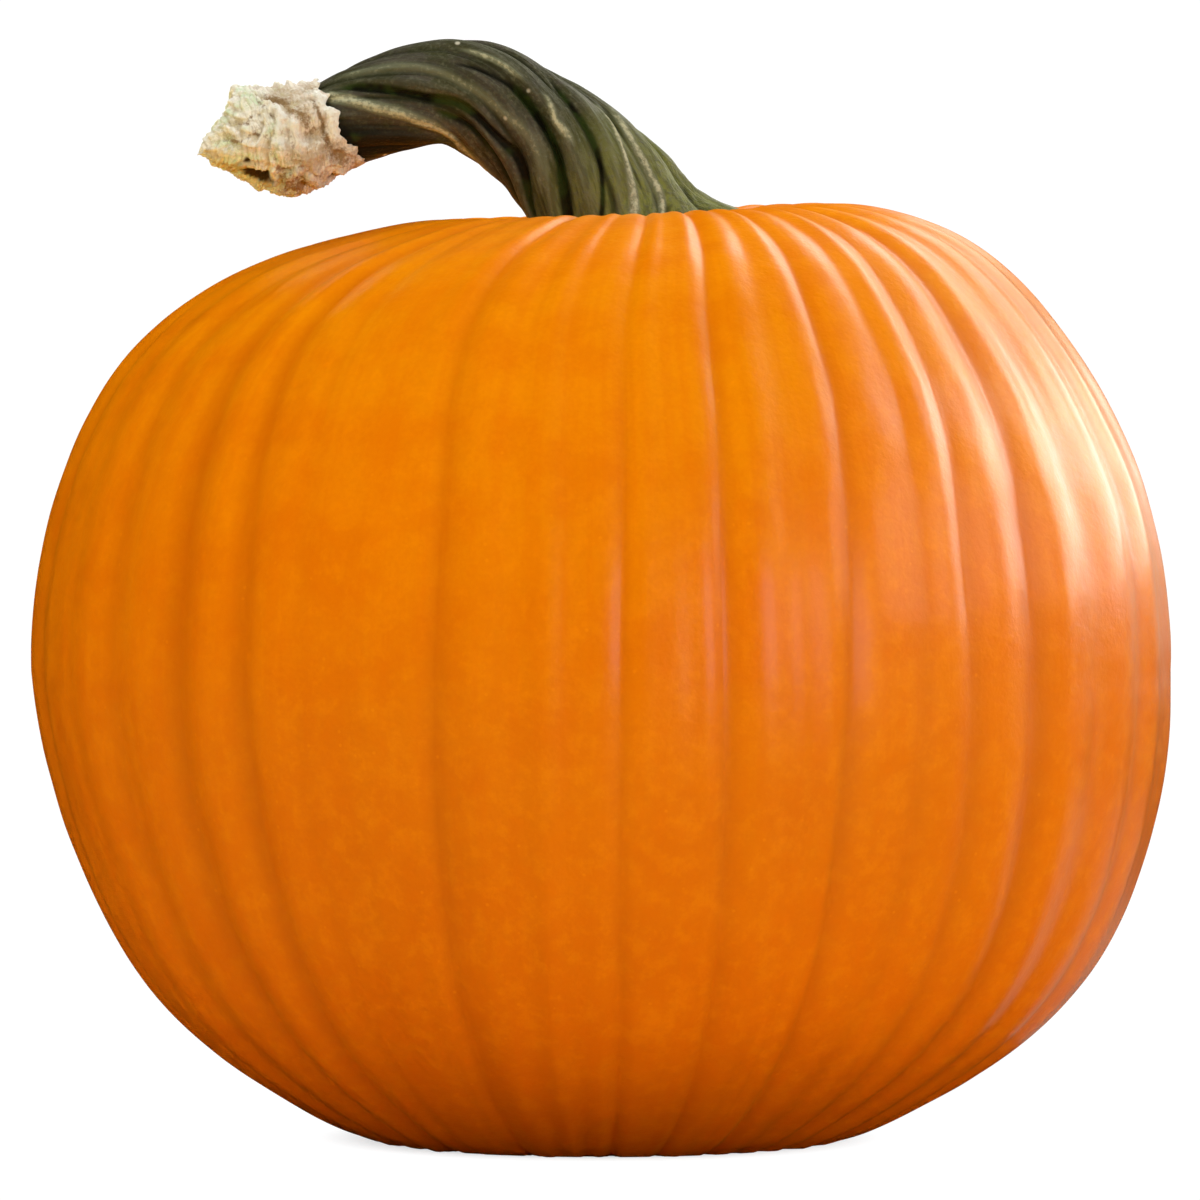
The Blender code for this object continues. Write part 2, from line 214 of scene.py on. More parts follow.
# Torn layers: each set is a row of steps (direction in the torn end's own axes, spacing in mm,
# warp in spacings, size of the warp in mm, height in mm, seed).
LAYERS = (
    ((0.93, 0.32, 0.15), 4.6, 1.0, 8.0, 1.2, 61),
    ((0.62, -0.75, 0.20), 3.1, 0.9, 5.0, 0.55, 62),
)
# Fine grain of the torn fibres, given as a torn layer is.
FIBRE_GRAIN = ((0.9, 0.35, 0.2), 1.15, 0.8, 3.0, 0.34, 63)
# Clods of the torn end: (size, height, seed).
CLODS = ((6.5 * MM, 0.9 * MM, 64), (2.6 * MM, 0.50 * MM, 65), (1.0 * MM, 0.20 * MM, 66))
LAYER_PATCH, LAYER_LIMITS = 7 * MM, (-0.5, 0.3)  # layers come and go in patches of this size
STEP_RISE, STEP_FALL = (0, 0.8), (0.82, 1.0)  # parts of the spacing for its rise and its break
STEP_LEVEL, GRAIN_LEVEL = 0.6, 0.5  # the part of the relief that is taken off again
FINER_PART = 0.6  # how much the second set adds to what looks like a step
# Holes: (along, over, towards the viewer, radius, depth).
HOLES_MM = (
    (21.8, -5.2, 4.5, 4.4, 3.4), (22.0, 0.5, 9.6, 1.3, 0.9), (3.7, -11.0, 4.0, 1.2, 0.9),
    (8.0, 2.0, -12.0, 1.8, 1.3), (16.0, -2.0, -9.0, 2.0, 1.6), (12.0, 9.0, -10.0, 1.5, 1.2),
)
# Folds and gaps on the viewer's side: (half width and height in mm, tone from -1 brown to 1 cream,
# then where the fold passes, as pairs along and over the stem in mm). The brown is painted shade in
# the gaps and beside the folds; the cream is partly the fibres' own colour and partly painted highlight.
TORN_FOLDS = (
    (1.1, 0.9, 1.0, (10.6, 11.2), (9.5, 8.0), (8.2, 4.6)),
    (1.5, 0.8, 0.8, (11.3, 6.5), (12.2, 2.5), (13.2, -1.2)),
    (1.3, 0.7, 0.7, (8.2, 3.0), (8.5, -0.5), (6.3, -2.8), (3.7, -3.0)),
    (1.6, 0.9, 1.0, (-1.0, 8.5), (-2.0, 4.0), (-2.0, 0.3), (-0.8, -3.0)),
    (0.8, 0.6, 0.7, (22.2, 9.2), (21.0, 7.6)),
    (1.1, 0.7, 0.9, (19.6, -4.8), (18.0, -8.5)),
    (1.2, 0.6, 0.6, (16.8, -2.5), (17.3, -6.5)),
    (1.4, 0.6, 0.6, (5.3, -8.8), (1.0, -10.5)),
    (2.4, 0.4, 0.6, (24.5, 11.0), (20.5, 13.5), (17.5, 15.5)),
    (1.3, 0.6, 0.6, (27.0, 6.0), (23.5, 4.0), (19.0, 3.0)),
    (1.7, -0.4, -0.75, (11.9, 13.9), (8.1, 12.0), (6.6, 8.5), (6.0, 5.5)),
    (0.8, -0.9, -1.0, (9.6, 13.0), (7.5, 10.2)),
    (1.0, -0.3, -0.7, (12.6, 11.5), (11.3, 8.0)),
    (1.7, -0.4, -0.75, (3.8, 3.6), (4.6, 0.0)),
    (0.8, -0.6, -1.0, (0.8, 8.0), (0.9, 2.3), (1.3, -0.6), (1.8, -3.7)),
    (0.7, -0.4, -0.9, (21.1, 10.2), (18.4, 9.2), (16.4, 9.9)),
    (0.7, -0.3, -0.6, (24.6, 8.0), (21.5, 5.6), (17.0, 5.4)),
    (1.2, -0.4, -0.6, (31.0, 6.6), (29.0, 3.6), (26.0, 0.6)),
    (2.8, -0.3, -0.9, (16.0, -7.8), (12.0, -10.6)),
    (2.0, -0.4, -0.9, (2.4, -4.0), (0.6, -8.0)),
    (0.7, -0.3, -0.7, (15.2, 4.0), (15.6, -0.5), (15.0, -5.5)),
    (0.7, -0.3, -0.7, (10.2, 2.0), (10.6, -2.5), (10.0, -6.5)),
)
HOLE_ROUGHNESS = (1.5 * MM, 0.5)  # size, and how far a hole's edge wanders, in mm
DARK_HOLE = 1.5  # a hole this deep, in mm, gets the full painted shade
FOLD_ROUGHNESS = (2.0 * MM, 0.5)
FOLD_FADE = (0.0, 4 * MM)  # distances towards the viewer over which the folds set in
END_COLUMNS, END_ROWS = 300, 250

# ---- numbers: the stage ----
WHITE = (1, 1, 1)
BACKDROP = 1.05  # how bright the surroundings look; they give no light
FLOOR_HALF = 3.0
FLOOR_FADE = (0.03, 0.075)  # distances between which the floor turns plain white
CAMERA_PLACE = (0, -2.8, 0.245)
CAMERA_AIM = (0, 0, 0.1325)
FRAME_WIDTH = 0.2955  # seen across the frame at the pumpkin's axis
# Panels of a light tent, which give no highlights:
# (name, bearing, elevation, distance, width, height, power).
TENT = (
    ("tent_top", 0, 90, 1.7, 1.8, 1.8, 23.0),
    ("tent_front_left", -40, 8, 1.7, 1.0, 0.30, 7.0),
    ("tent_front_right", 40, 8, 1.7, 1.0, 0.30, 13.5),
    ("tent_left", -75, 45, 1.7, 1.1, 0.90, 10.0),
    ("tent_right", 115, 25, 1.7, 1.2, 1.00, 10.0),
    ("tent_back", 180, 35, 1.7, 1.8, 1.2, 34.0),
)
PALE = (1.0, 1.0, 0.88)
# Upright windows: (name, bearing, distance, height of lower and upper edge, width, power, colour).
WINDOWS = (
    ("window_right", 126, 1.3, 0.24, 0.60, 1.36, 5.5, PALE),
    ("window_right_middle", 111, 1.3, 0.60, 1.00, 0.68, 5.5, PALE),
    ("window_back_middle", 148, 1.3, 0.60, 1.00, 1.02, 2.0, PALE),
    ("window_high", 140, 1.3, 1.00, 1.60, 1.36, 8.0, PALE),
    ("window_high_right", 88, 1.3, 1.00, 1.60, 0.34, 2.0, PALE),
    ("window_low", 150, 1.3, 0.06, 0.24, 0.80, 0.15, PALE),
    ("window_side", 63, 0.6, 0.20, 0.45, 0.26, 0.30, PALE),
    ("low_window", 29, 0.385, 0.10, 0.23, 0.11, 0.07, (0.80, 0.75, 1.0)),
)
# A panel on the floor that faces up: (name, bearing, distance, height, width, length, power).
FLOOR_GLOW = ("floor_glow", 122, 0.34, 2 * MM, 0.34, 0.36, 0.085)


def curve_through(points, share):
    """Smooth cubic curve through the points, at shares of its length; rows are coordinates.

    The curve has no corner in slope or bend, and no bend at its two ends.
    """
    chords = np.linalg.norm(np.diff(points, axis=0), axis=1)
    knots = np.concatenate([[0.0], np.cumsum(chords)])
    slopes = np.diff(points, axis=0) / chords[:, None]
    count = len(points)
    system = np.zeros((count, count))
    target = np.zeros((count, points.shape[1]))
    system[0, 0] = system[-1, -1] = 1.0
    for i in range(1, count - 1):
        system[i, i - 1 : i + 2] = chords[i - 1], 2 * (chords[i - 1] + chords[i]), chords[i]
        target[i] = 6 * (slopes[i] - slopes[i - 1])
    bend = np.linalg.solve(system, target)
    along = np.clip(share, 0, 1) * knots[-1]
    span = np.clip(np.searchsorted(knots, along, side="right") - 1, 0, count - 2)
    width = chords[span][..., None]
    after = (along - knots[span])[..., None]
    before = width - after
    bent = (bend[span] * before**3 + bend[span + 1] * after**3) / (6 * width)
    start = points[span] / width - bend[span] * width / 6
    finish = points[span + 1] / width - bend[span + 1] * width / 6
    return np.moveaxis(bent + start * before + finish * after, -1, 0)


def direction_along(points, share):
    """Unit direction of the curve through the points, from a small step to both sides."""
    inside = np.clip(share, SMALL_STEP, 1 - SMALL_STEP)
    along = curve_through(points, inside + SMALL_STEP) - curve_through(points, inside - SMALL_STEP)
    return along / np.linalg.norm(along, axis=0)


def length_of(points):
    """Length of the straight chords through the points."""
    return np.linalg.norm(np.diff(points, axis=0), axis=1).sum()


def smoothstep(value, low, high):
    """0 below low, 1 above high, and a smooth S between them."""
    t = np.clip((value - low) / (high - low), 0, 1)
    return t * t * (3 - 2 * t)


def bell(value, middle, width):
    """1 at the middle, falling off as exp(-x^2) on both sides."""
    return np.exp(-(((value - middle) / width) ** 2))


def soft_noise(places, seed):
    """Smooth random field between -1 and 1 at places counted in cells, one row of three each.

    Every corner of a cubic lattice has a random value, and a place takes the average of the
    eight corners round it, weighted by an S curve along each axis.
    """
    table = np.random.default_rng(seed).uniform(-1, 1, (NOISE_CELLS,) * 3)
    corner = np.floor(places).astype(int)
    part = places - corner
    part = part * part * (3 - 2 * part)
    total = np.zeros(places.shape[:-1])
    for offset in itertools.product((0, 1), repeat=3):
        weight = np.prod(np.where(offset, part, 1 - part), axis=-1)
        x, y, z = np.moveaxis((corner + offset) % NOISE_CELLS, -1, 0)
        total += weight * table[x, y, z]
    return total


def ridged(noise, sharpness=1.0):
    """Turns a field between -1 and 1 into crests of height 1 along its zero lines."""
    return (1 - np.abs(noise)) ** sharpness


def drawn_noise(way, size, seed):
    """Smooth random field drawn out along a surface, with one size across and another along."""
    across, along = size
    return soft_noise(way / (across, across, along), seed)


def grid_normals(grid):
    """Unit normals of a grid whose columns close into rings, as the cross product of its steps."""
    across = np.roll(grid, -1, axis=1) - np.roll(grid, 1, axis=1)
    along = np.gradient(grid, axis=0)
    normal = np.cross(across, along)
    return normal / np.maximum(np.linalg.norm(normal, axis=-1, keepdims=True), 1e-12)


def closed_mesh(name, grid, last, **attributes):
    """Mesh of a grid of points, rows by columns, with its faces looking outwards.

    The columns close into rings. The first ring closes onto its middle and the last ring onto
    the last point. An attribute holds a value, or a row of three, for each point; the closing
    points take the mean of their ring.
    """
    rows, columns, _ = grid.shape
    points = np.concatenate([grid.reshape(-1, 3), [grid[0].mean(axis=0), last]])
    number = np.arange(rows * columns).reshape(rows, columns)
    beside = np.roll(number, -1, axis=1)
    quads = np.stack([number[:-1], beside[:-1], beside[1:], number[1:]], axis=-1).reshape(-1, 4)
    closing = np.full(columns, rows * columns)
    caps = np.concatenate([
        np.stack([beside[0], number[0], closing], axis=-1),
        np.stack([number[-1], beside[-1], closing + 1], axis=-1),
    ])
    corners = points[quads] - points.mean(axis=0)
    volume = np.einsum("ij,ij->", np.cross(corners[:, 0], corners[:, 1]), corners[:, 2])
    volume += np.einsum("ij,ij->", np.cross(corners[:, 0], corners[:, 2]), corners[:, 3])
    if volume < 0:
        quads, caps = quads[:, ::-1], caps[:, ::-1]
    mesh = bpy.data.meshes.new(name)
    mesh.from_pydata(points, [], quads.tolist() + caps.tolist())
    mesh.shade_smooth()
    for title, values in attributes.items():
        values = values.reshape(rows, columns, -1)
        rings = np.stack([values[0].mean(axis=0), values[-1].mean(axis=0)])
        attach(mesh, title, np.concatenate([values.reshape(rows * columns, -1), rings]))
    return mesh


def attach(mesh, title, values):
    """Stores a number, or a row of three, on each point of the mesh."""
    is_vector = values.shape[1] == 3
    made = mesh.attributes.new(title, "FLOAT_VECTOR" if is_vector else "FLOAT", "POINT")
    made.data.foreach_set("vector" if is_vector else "value", values.astype(np.float32).ravel())


def new_object(name, data):
    """An object in the scene, at the origin."""
    made = bpy.data.objects.new(name, data)
    bpy.context.scene.collection.objects.link(made)
    return made


def piece(name, mesh, finish, node):
    """An object at the origin that rides on the pumpkin's one body and stands for a CAD node."""
    mesh.materials.append(finish)
    made = new_object(name, mesh)
    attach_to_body(made, "root")
    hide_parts(node)


# ---- fruit ----


def groove_table():
    """(bearing, depth, sway phase, rib proudness) of every groove, in order round the fruit.

    The back grooves share the rest of the circle evenly, each moved by a seeded jitter.
    """
    draw = np.random.default_rng(SEED)
    front = np.array(FRONT_GROOVES, float)
    first, last = front[0, 0] + 360, front[-1, 0]
    width = (first - last) / BACK_RIBS
    steps = np.arange(1, BACK_RIBS)
    back_bearings = last + width * (steps + draw.uniform(-BACK_JITTER, BACK_JITTER, len(steps)))
    back_depths = np.where(steps % 2, *BACK_DEPTHS_MM) * draw.uniform(*BACK_DEPTH_SPREAD, len(steps))
    bearings = np.radians(np.concatenate([front[:, 0], back_bearings]))
    depths = np.concatenate([front[:, 1], back_depths]) * MM
    phases = draw.uniform(0, 2 * math.pi, len(bearings))
    proud = draw.uniform(-PROUD_MM, PROUD_MM, len(bearings)) * MM
    return bearings, depths, phases, proud


GROOVES = groove_table()
MERIDIAN = np.array(MERIDIAN_MM) * MM
MERIDIAN_LENGTH = length_of(MERIDIAN)


def fruit_surface(rib, share):
    """Point on the fruit, its bearing, and how deep it lies in a groove.

    The outline is turned about the upright axis; rib counts round from groove to groove, and
    share runs up the outline. A rib is pushed in along the outline's normal towards its two
    grooves, which fade to nothing at the poles; then the whole form leans.
    """
    bearings, depths, phases, proud = GROOVES
    number = np.floor(rib).astype(int)
    part = rib - number
    this = number % len(bearings)
    following = (number + 1) % len(bearings)

    belly = smoothstep(share, *GATHER_LOW) * (1 - smoothstep(share, *GATHER_HIGH))

    def swayed(groove):
        sway = np.sin(2 * math.pi * share + phases[groove]) * np.sin(math.pi * share)
        sway = math.radians(SWAY_DEG) * sway
        gather = math.radians(GATHER_DEG) * belly * np.sin(2 * bearings[groove])
        return bearings[groove] + sway - gather

    turn = 2 * math.pi * (following <= this)
    bearing = (1 - part) * swayed(this) + part * (swayed(following) + turn)
    depth = (1 - part) * depths[this] + part * depths[following]

    radius, height = curve_through(MERIDIAN, share)
    along = direction_along(MERIDIAN, share)

    wave = np.sqrt(np.sin(math.pi * part) ** 2 + CREASE_SOFTNESS**2) - CREASE_SOFTNESS
    valley = 1 - np.clip(wave / (1 - CREASE_SOFTNESS), 0, 1) ** VALLEY_SHARPNESS
    valley = valley + ROUND_RIBS * (np.cos(math.pi * part) ** 2 - valley)
    fade = LOW_DEPTH + (HIGH_DEPTH - LOW_DEPTH) * smoothstep(share, *SHOULDER_SHARES)
    fade = fade * np.clip(np.sin(math.pi * share), 0, 1) ** POLE_FADE
    lasting = smoothstep(depth, *FAINT_GROOVES)
    fade = fade * (lasting + (1 - lasting) * smoothstep(share, *FAINT_SHARES))
    groove = np.minimum(depth * fade, STEEPEST_GROOVE * radius) * valley
    swell = proud[this] * np.sin(math.pi * part) ** 2 * np.sin(math.pi * share) ** 2
    offset = swell - groove
    radius = radius + along[1] * offset
    height = height - along[0] * offset

    lower = np.sin(math.pi * np.clip(share / 0.5, 0, 1))
    radius = radius * (1 + SIDE_SWELL * lower * np.sin(bearing))
    crest = np.sin(math.pi * np.clip(radius / WIDEST_RADIUS, 0, 1))
    crest = crest * smoothstep(share, *SHOULDER_SHARES)
    x = radius * np.sin(bearing) + HOLLOW_LEAN * smoothstep(share, *LEAN_SHARES)
    y = -radius * np.cos(bearing)
    z = height + SHOULDER_TILT * crest * np.sin(bearing)
    return np.stack([x, y, z], axis=-1), bearing, groove


def skin_height(x, y):
    """Height of the fruit's skin in the hollow, over the ground point (x, y).

    The outline falls steadily in radius towards its top end there, so the share is looked up
    from the distance to the hollow's middle, and the rib from the bearing.
    """
    share = np.linspace(HOLLOW_START, 1, SKIN_PROBES)
    radius = curve_through(MERIDIAN, share)[0]
    distance = np.hypot(x - HOLLOW_LEAN, y)
    here = np.interp(distance, radius[::-1], share[::-1])
    bearings = GROOVES[0]
    bearing = (np.arctan2(x - HOLLOW_LEAN, -y) - bearings[0]) % (2 * math.pi) + bearings[0]
    closed = np.append(bearings, bearings[0] + 2 * math.pi)
    rib = np.interp(bearing, closed, np.arange(len(closed)))
    return fruit_surface(np.minimum(rib, len(bearings) - 1e-6), here)[0][..., 2]


def fruit_mesh():
    """The fruit's skin: its form, moved along its normals by the fine relief.

    The relief is the sum of dents, faint flutes, puckers where the ribs meet the stem, and the scar.
    """
    ribs = np.arange(len(GROOVES[0]) * RIB_COLUMNS) / RIB_COLUMNS
    even = np.linspace(0, 1, FRUIT_ROWS + 1)[1:-1]
    shares = even - POLE_CROWDING * np.sin(2 * math.pi * even) / (2 * math.pi)
    rib, share = np.meshgrid(ribs, shares)
    grid, bearing, groove = fruit_surface(rib, share)
    way = np.stack([
        WIDEST_RADIUS * np.cos(bearing),
        WIDEST_RADIUS * np.sin(bearing),
        share * MERIDIAN_LENGTH,
    ], axis=-1)

    relief = sum(height * soft_noise(grid / size, seed) for size, height, seed in DENTS)
    relief = relief + FLUTE_HEIGHT * drawn_noise(way, FLUTE_SIZE, seed=24)
    narrow = way * (PUCKER_NARROWING, PUCKER_NARROWING, 1)
    pucker = ridged(drawn_noise(narrow, PUCKER_SIZE, seed=25), 2)
    relief = relief - PUCKER_HEIGHT * pucker * smoothstep(share, *PUCKER_SHARES)
    scar = 1 - smoothstep(share, SCAR_CORE * SCAR_SHARE, SCAR_SHARE)
    size, height, seed = SCAR_GRAIN
    relief = relief + scar * (SCAR_HEIGHT + height * soft_noise(grid / size, seed))
    grid = grid + grid_normals(grid) * relief[..., None]
    grid[..., 2] = np.maximum(grid[..., 2], 0.0)
    tip = grid[-1].mean(axis=0)
    # how deep a point lies in a groove: the skin's material darkens it there as painted shade and makes
    # it rougher
    groove = np.clip(groove / FULL_GROOVE, 0, 1.5)
    return closed_mesh("fruit_skin", grid, tip, way=way, groove=groove, scar=scar, share=share)


# ---- stem ----

STEM_PATH = np.array(STEM_PATH_MM) * MM
STEM_LENGTH = length_of(STEM_PATH[:, :3])


def stem_frames(share):
    """Middle and radius of the stem, and its directions: over its bend, towards -Y, and along."""
    *middle, radius = curve_through(STEM_PATH, share)
    along = np.moveaxis(direction_along(STEM_PATH, share)[:3], 0, -1)
    along = along / np.linalg.norm(along, axis=-1, keepdims=True)
    front = along * along[..., 1:2] - np.array([0.0, 1.0, 0.0])
    front = front / np.linalg.norm(front, axis=-1, keepdims=True)
    over = np.cross(along, front)
    return np.stack(middle, axis=-1), radius, over, front, along


def ridge_wave(turned):
    """Height of the ridges at an angle counted with the twist, 0 in a furrow to 1 on a strong crest.

    It is the size of a cosine, lowered where the cosine is below 0, so every other crest is weak.
    """
    wave = np.cos(RIDGES * turned)
    weak = (1 - WEAK_RIDGE) / 2
    return np.abs(wave) * (1 - weak + weak * wave)


def stem_surface(angle, share):
    """Point on the stem, its outward direction, its height on a ridge and its twisted angle.

    A round section is carried along the path, and the ridges turn with the twist.
    """
    middle, radius, over, front, _ = stem_frames(share)
    turned = angle + TWIST * np.clip(share, 0, 1) ** TWIST_START
    ridge = ridge_wave(turned)
    depth = RIDGE_DEPTH + FOOT_RIDGE_DEPTH * (1 - smoothstep(share, 0, FOOT_SHARE))
    reach = radius * (1 - depth * (1 - ridge))
    across = np.cos(angle)[..., None] * over + np.sin(angle)[..., None] * front
    return middle + reach[..., None] * across, across, ridge, turned


def stem_start(angles):
    """Last share at which each line along the stem is still SEAT_DEPTH under the fruit's skin."""
    shares = np.linspace(0, FOOT_END, SKIN_PROBES)
    angle, share = np.meshgrid(angles, shares, indexing="ij")
    points = stem_surface(angle, share)[0]
    sunk = points[..., 2] < skin_height(points[..., 0], points[..., 1]) - SEAT_DEPTH
    last_sunk = sunk.shape[1] - 1 - np.argmax(sunk[:, ::-1], axis=1)
    return shares[last_sunk]


def places_apart(turned, place):
    """How far an angle lies from a place, counted in places round the twisted stem."""
    return (turned * PLACES / (2 * math.pi) - place + PLACES / 2) % PLACES - PLACES / 2


def foot_form(turned, share):
    """How far the foot's root stands out, less how far the bend above it draws in.

    Both are bells round the stem. Along it the root ends in an S curve, and the bend is a bell.
    """
    away = places_apart(turned, TOE_PLACE)
    toe = TOE_HEIGHT * bell(away, 0, TOE_WIDTH) * (1 - smoothstep(share, *TOE_SHARES))
    return toe - WAIST_DEPTH * bell(away, 0, WAIST_WIDTH) * bell(share, WAIST_SHARE, WAIST_LENGTH)


def stem_lines(turned, share, girth):
    """Height and tone of the drawn lines along the stem.

    Each line passes through its pairs of share and place, and falls off to both sides as a
    bell of the distance round the stem; it fades in and out at its two ends.
    """
    height = np.zeros_like(share)
    tone = np.zeros_like(share)
    for half_width, rise, paleness, *passes in STEM_LINES:
        passes = np.array(sorted(passes))
        place = np.interp(share, passes[:, 0], passes[:, 1])
        apart = places_apart(turned, place)
        drawn = bell(apart * 2 * math.pi / PLACES * girth, 0, half_width * MM)
        low, high = passes[0, 0], passes[-1, 0]
        drawn = drawn * smoothstep(share, low - LINE_FADE, low + LINE_FADE)
        drawn = drawn * (1 - smoothstep(share, high - LINE_FADE, high + LINE_FADE))
        height = height + rise * MM * drawn
        tone = tone + paleness * drawn
    return height, np.clip(tone, -1, 1)


def stem_mesh():
    """The stem's skin, from under the fruit's skin to a ragged end, moved outwards by the relief.

    The relief is the sum of finer ridges, cords, hairlines, soft swellings, the drawn lines and
    the foot's form. Its two ends follow the fruit's skin and a seeded noise round the stem.
    """
    angles = 2 * math.pi * np.arange(STEM_COLUMNS) / STEM_COLUMNS
    step = np.linspace(0, 1, STEM_ROWS)[:, None]
    start = stem_start(angles)
    rim = np.stack([np.cos(angles), np.sin(angles), 0 * angles], axis=-1)
    finish = 1 + RAGGED_END / STEM_LENGTH * soft_noise(rim * RAGS_ROUND, seed=31)
    share = start + (finish - start) * step
    angle = np.broadcast_to(angles, share.shape)
    grid, across, ridge, turned = stem_surface(angle, share)
    middle, (along, _, _) = end_axes()
    beyond = np.maximum(share - 1, 0)[..., None] * STEM_LENGTH
    grid = grid + beyond * along
    girth = curve_through(STEM_PATH, share)[3]
    way = np.stack([girth * np.cos(turned), girth * np.sin(turned), share * STEM_LENGTH], axis=-1)

    wander = WANDER * drawn_noise(way, WANDER_SIZE, seed=32)
    fine = np.abs(np.cos(FINE_RIDGES / 2 * turned + wander)) ** FINE_RIDGE_POWER
    cords = ridged(drawn_noise(way, CORD_SIZE, seed=33))
    hairs = drawn_noise(way, HAIR_SIZE, seed=34)
    knuckles = soft_noise(grid / KNUCKLE_SIZE, seed=35)
    swerve = SWERVE * drawn_noise(way, SWERVE_SIZE, seed=36)
    lines, tone = stem_lines(turned + swerve, share, girth)
    relief = FINE_RIDGE_HEIGHT * (fine - FINE_RIDGE_LEVEL) + CORD_HEIGHT * (cords - CORD_LEVEL)
    relief = relief + HAIR_HEIGHT * hairs + KNUCKLE_HEIGHT * knuckles + lines + foot_form(turned, share)
    end_fade = 1 - END_FADE * smoothstep(share, *END_FADE_SHARES)
    grid = grid + across * (relief * end_fade)[..., None]
    coarse, small, corded = CREST_PARTS
    crest = np.clip(coarse * ridge + small * fine + corded * (cords - 0.5), 0, 1)
    tip = middle + along * END_BULGE
    return closed_mesh("stem_skin", grid, tip, way=way, crest=crest, share=share, tone=tone)


# ---- torn end ----


def end_axes():
    """Middle of the stem's last section, and its directions: along, over its bend, towards -Y."""
    middle, _, over, front, along = stem_frames(np.array([1.0]))
    return middle[0], np.stack([along[0], over[0], front[0]])


def end_local(angle, share):
    """Point on the torn end in its own axes: along, over and towards the viewer.

    An outline is turned about the stem's last direction. Its height is then stretched between
    an upper and a lower side, and its lip on the green skin is pulled back in rags.
    """
    forward, radius, fullness = curve_through(np.array(TORN_OUTLINE_MM), share)
    at, upper, lower = np.array(TORN_SIDES_MM).T
    centre = (np.interp(forward, at, upper) + np.interp(forward, at, lower)) / 2
    half = (np.interp(forward, at, upper) - np.interp(forward, at, lower)) / 2
    over = centre + half * np.clip(fullness, 0, 1) * np.cos(angle)
    sideways = np.maximum(radius, 0) * np.sin(angle)
    local = np.stack([forward, over, sideways], axis=-1) * MM
    lip = bell(share, LIP_SHARE, LIP_WIDTH)
    rags = sum(depth * soft_noise(local * RAG_STRETCH / size, seed) for size, depth, seed in LIP_RAGS)
    flap = FLAP_LENGTH * bell(angle, FLAP_ANGLE, FLAP_WIDTH)
    local[..., 0] -= lip * (rags + flap)
    return local


def torn_steps(local, layer):
    """A row of torn layers, each rising from 0 to 1 and breaking off short, and its height."""
    direction, spacing, warp, warp_size, height, seed = layer
    bend = warp * soft_noise(local / (warp_size * MM), seed)
    phase = (local @ np.array(direction)) / (spacing * MM) + bend
    part = phase - np.floor(phase)
    return smoothstep(part, *STEP_RISE) * (1 - smoothstep(part, *STEP_FALL)), height * MM


def torn_folds(local):
    """Height and tone of the drawn folds and gaps on the viewer's side of the torn end.

    A fold falls off as a bell of the distance, seen from the viewer's side, to the nearest
    point of the line through its pairs.
    """
    height = np.zeros(local.shape[:2])
    tone = np.zeros(local.shape[:2])
    size, wander = FOLD_ROUGHNESS
    seen = local[..., :2] / MM + wander * soft_noise(local / size, seed=73)[..., None]
    for half_width, rise, paleness, *passes in TORN_FOLDS:
        passes = np.array(passes)
        first, span = passes[:-1], np.diff(passes, axis=0)
        apart = seen[..., None, :] - first
        part = np.clip(np.sum(apart * span, axis=-1) / np.sum(span**2, axis=-1), 0, 1)
        apart = np.linalg.norm(apart - part[..., None] * span, axis=-1).min(axis=-1)
        drawn = bell(apart, 0, half_width)
        height = height + rise * MM * drawn
        tone = tone + paleness * drawn
    facing = smoothstep(local[..., 2], *FOLD_FADE)
    return height * facing, np.clip(tone, -1, 1) * facing


def end_mesh():
    """The torn end: its form, moved along its normals by the relief past the lip.

    The relief is the sum of torn layers, fibre grain, clods and drawn folds, less the holes, which
    are bells of the distance to their middles.
    """
    angles = 2 * math.pi * np.arange(END_COLUMNS) / END_COLUMNS
    shares = np.linspace(0, 1, END_ROWS + 1)[1:-1]
    angle, share = np.meshgrid(angles, shares)
    local = end_local(angle, share)
    open_part = smoothstep(share, *OPEN_PART)
    relief = np.zeros_like(share)
    steps = []
    for number, layer in enumerate(LAYERS):
        step, height = torn_steps(local, layer)
        strength = smoothstep(soft_noise(local / LAYER_PATCH, seed=71 + number), *LAYER_LIMITS)
        steps.append(step * strength)
        relief = relief + height * (step - STEP_LEVEL) * strength
    grain, height = torn_steps(local, FIBRE_GRAIN)
    relief = relief + height * (grain - GRAIN_LEVEL)
    relief = relief + sum(height * soft_noise(local / size, seed) for size, height, seed in CLODS)
    folds, tone = torn_folds(local)
    relief = relief + folds
    hole = np.zeros_like(share)
    size, wander = HOLE_ROUGHNESS
    rough = wander * soft_noise(local / size, seed=72)[..., None]
    for *place, radius, depth in HOLES_MM:
        apart = np.linalg.norm(local / MM - place + rough, axis=-1)
        pressed = bell(apart, 0, radius)
        relief = relief - depth * MM * pressed
        # painted shade: the deeper a hole, the darker it is drawn
        hole = np.maximum(hole, pressed * min(depth / DARK_HOLE, 1))
    normals = grid_normals(local)
    half_way = len(shares) // 2
    if np.sum(normals[half_way] * local[half_way]) < 0:
        normals = -normals
    local = local + normals * (relief * open_part)[..., None]
    middle, axes = end_axes()
    grid = middle + local @ axes
    hole = hole * open_part
    step = np.clip(steps[0] + FINER_PART * steps[1], 0, 1)
    tip = grid[-1].mean(axis=0)
    return closed_mesh("torn_end", grid, tip, way=local, hole=hole, step=step, grain=grain, tone=tone)


# ---- materials ----


def feed(tree, node, sockets):
    """Gives each named or numbered input of a node a value or another node's output."""
    for socket, value in sockets.items():
        if isinstance(value, bpy.types.NodeSocket):
            tree.links.new(value, node.inputs[socket])
        else:
            node.inputs[socket].default_value = value


def add(tree, kind, sockets=None, **settings):
    """Adds a shader node with its settings and inputs."""
    made = tree.nodes.new("ShaderNode" + kind)
    for name, value in settings.items():
        setattr(made, name, value)
    feed(tree, made, sockets or {})
    return made


def mixed(tree, factor, first, second):
    """Colour between first and second."""
    return add(tree, "Mix", {0: factor, 6: first, 7: second}, data_type="RGBA").outputs[2]


